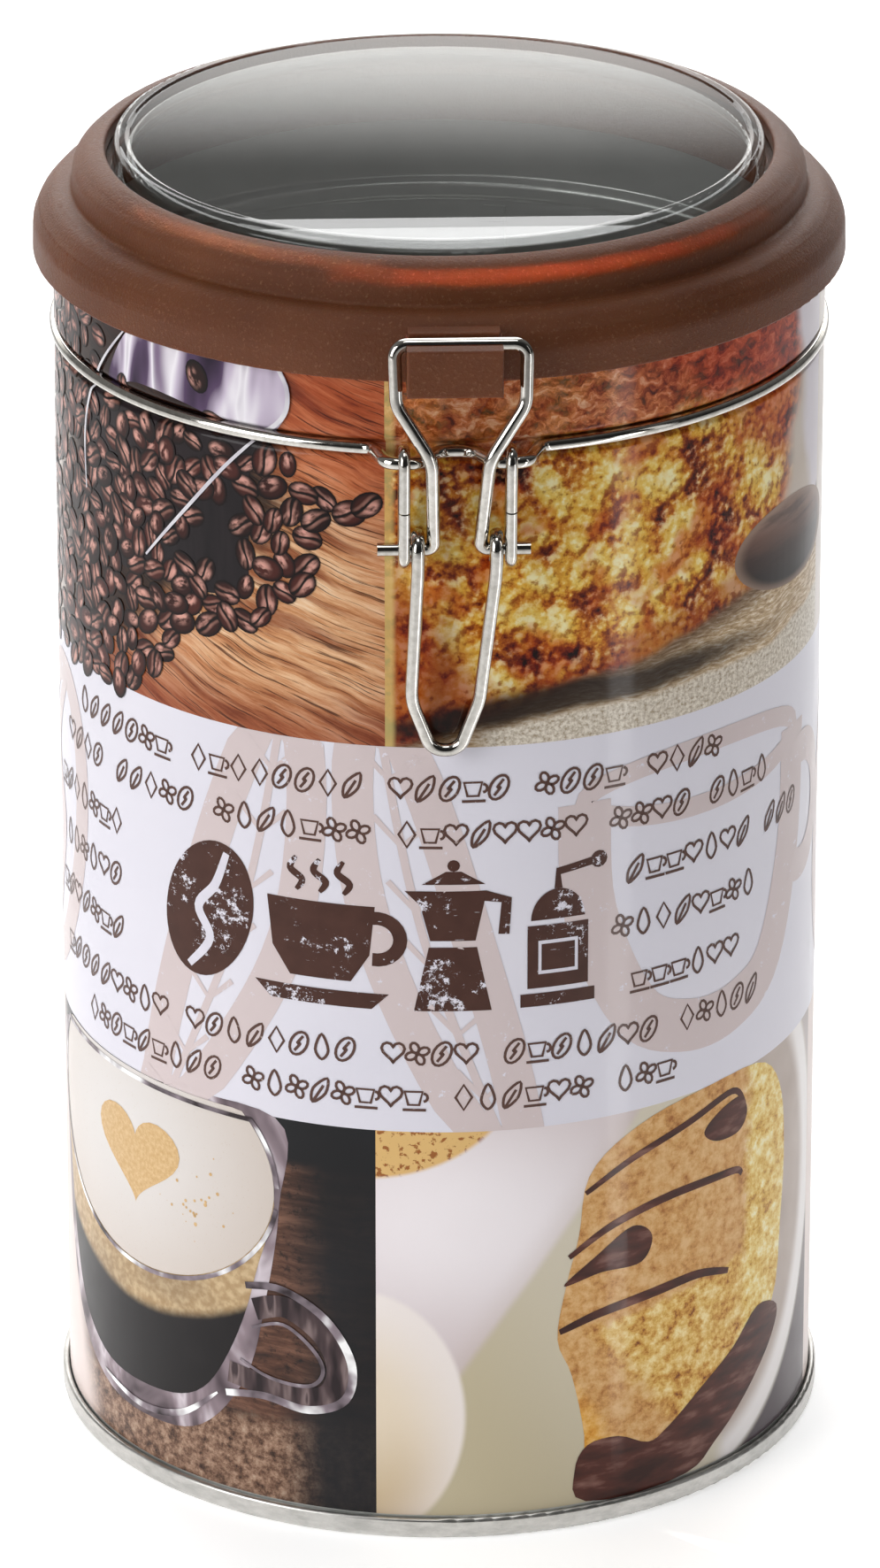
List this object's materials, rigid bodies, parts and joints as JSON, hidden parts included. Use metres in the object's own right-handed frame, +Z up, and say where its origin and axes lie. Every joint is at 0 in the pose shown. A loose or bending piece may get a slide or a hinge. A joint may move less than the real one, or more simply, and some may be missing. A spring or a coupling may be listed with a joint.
{
  "type": "clip-top storage tin",
  "caption": "Tall round printed tinplate storage tin with a hinged plastic lid, a clear window in the lid and a wire toggle clasp.",
  "frame": {"origin": "centre of the base on the surface the tin stands on", "axes": "+Z up, the clasp faces -Y, the hinge is at +Y, +X to the right seen from the clasp side"},
  "size_m": [0.1156, 0.1282, 0.1946],
  "materials": {
    "printed_tinplate": "gloss",
    "bare_tinplate": "satin",
    "sealing_compound": "matte",
    "plated_wire": "polished",
    "lid_plastic": "satin",
    "clear_plastic": "clear",
    "silicone": "satin"
  },
  "bodies": {
    "can": {"can_body": "printed_tinplate", "can_bottom": "bare_tinplate", "seam_compound": "sealing_compound", "collar_wire": "plated_wire"},
    "lid": {"lid_ring": "lid_plastic", "lid_window": "clear_plastic", "window_retainer": "lid_plastic", "lid_gasket": "silicone"},
    "left_link": {"link_left": "plated_wire"},
    "right_link": {"link_right": "plated_wire"},
    "bail_frame": {"bail": "plated_wire"},
    "handle": {"pull_handle": "plated_wire"}
  },
  "joints": [
    {"name": "lid_hinge", "type": "hinge", "parent": "can", "child": "lid", "pos_m": [0, 0.061, 0.1793], "axis": [-1, 0, 0], "range_deg": [0, 105]},
    {"name": "left_link_swing", "type": "hinge", "parent": "can", "child": "left_link", "pos_m": [0, -0.0597, 0.1673], "axis": [-1, 0, 0], "range_deg": [0, 42]},
    {"name": "right_link_swing", "type": "hinge", "parent": "can", "child": "right_link", "pos_m": [0, -0.0597, 0.1673], "axis": [-1, 0, 0], "range_deg": [0, 42]},
    {"name": "bail_pivot", "type": "hinge", "parent": "left_link", "child": "bail_frame", "pos_m": [0, -0.0581, 0.154], "axis": [-1, 0, 0], "range_deg": [-25, 0]},
    {"name": "handle_pivot", "type": "hinge", "parent": "left_link", "child": "handle", "pos_m": [0, -0.0581, 0.154], "axis": [-1, 0, 0], "range_deg": [0, 95]}
  ],
  "couplings": [
    {"joint": "right_link_swing", "follows": "left_link_swing", "ratio": 1},
    {"joint": "bail_pivot", "follows": "left_link_swing", "ratio": -0.575}
  ]
}
